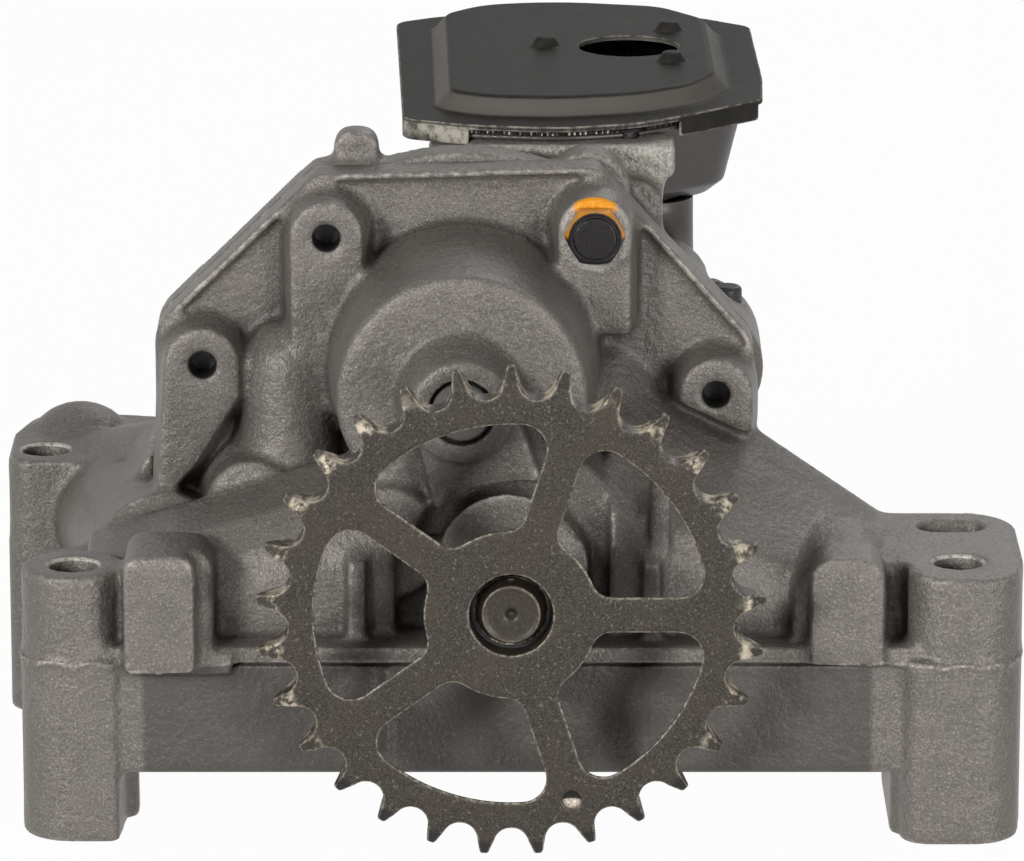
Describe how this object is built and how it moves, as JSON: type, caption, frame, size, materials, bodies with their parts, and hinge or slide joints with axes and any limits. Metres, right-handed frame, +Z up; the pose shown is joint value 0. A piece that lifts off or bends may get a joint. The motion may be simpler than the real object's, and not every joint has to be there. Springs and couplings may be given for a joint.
{
  "type": "engine oil pump",
  "caption": "Chain-driven gear oil pump with a sprocket, cast body on three bolt feet, rear cover, relief valve and a stamped suction strainer.",
  "frame": {"origin": "on the face that the three bolt feet stand on, under the middle of the whole pump", "axes": "+X to the right seen from the sprocket side, +Y from the sprocket towards the strainer along the shaft, +Z up from the feet"},
  "size_m": [0.1944, 0.19, 0.1271],
  "materials": {
    "cast_aluminium": "die cast, fine grain",
    "sprocket_steel": "dark sintered steel",
    "shaft_steel": "ground, oiled",
    "gear_steel": "machined",
    "spring_steel": "wire",
    "bolt_steel": "dark zinc",
    "stamped_steel": "dark satin sheet",
    "wire_cloth": "woven wire",
    "bush_bronze": "machined bronze",
    "seal_rubber": "matt"
  },
  "bodies": {
    "housing": {"pump_body": "cast_aluminium", "rear_cover": "cast_aluminium", "front_bush": "bush_bronze", "rear_bush": "bush_bronze", "driven_gear_pin": "shaft_steel", "relief_valve_plug": "bolt_steel", "relief_valve_washer": "bush_bronze", "relief_valve_spring": "spring_steel", "cover_bolts": "bolt_steel", "front_bolt": "bolt_steel", "cover_dowels": "shaft_steel", "gallery_screw": "bolt_steel", "strainer_cover": "stamped_steel", "strainer_mesh": "wire_cloth", "strainer_bowl": "stamped_steel", "strainer_screws": "bolt_steel", "suction_elbow": "stamped_steel", "suction_seal": "seal_rubber"},
    "drive": {"drive_shaft": "shaft_steel", "drive_gear": "gear_steel", "sprocket": "sprocket_steel"},
    "driven": {"driven_gear": "gear_steel", "driven_gear_bush": "bush_bronze"},
    "valve": {"relief_valve_piston": "gear_steel"}
  },
  "joints": [
    {"name": "drive_spin", "type": "hinge", "parent": "housing", "child": "drive", "pos_m": [0.0017, -0.053, 0.05], "axis": [0, 1, 0], "continuous": true},
    {"name": "driven_spin", "type": "hinge", "parent": "housing", "child": "driven", "pos_m": [-0.00742, -0.053, 0.08171], "axis": [0, 1, 0], "continuous": true},
    {"name": "valve_slide", "type": "slide", "parent": "housing", "child": "valve", "axis": [0, 1, 0], "range_m": [0, 0.008], "stiffness_N_per_m": 2000, "springref_m": -0.002, "deforming": ["relief_valve_spring"]}
  ],
  "couplings": [
    {"joint": "driven_spin", "follows": "drive_spin", "ratio": -1}
  ]
}
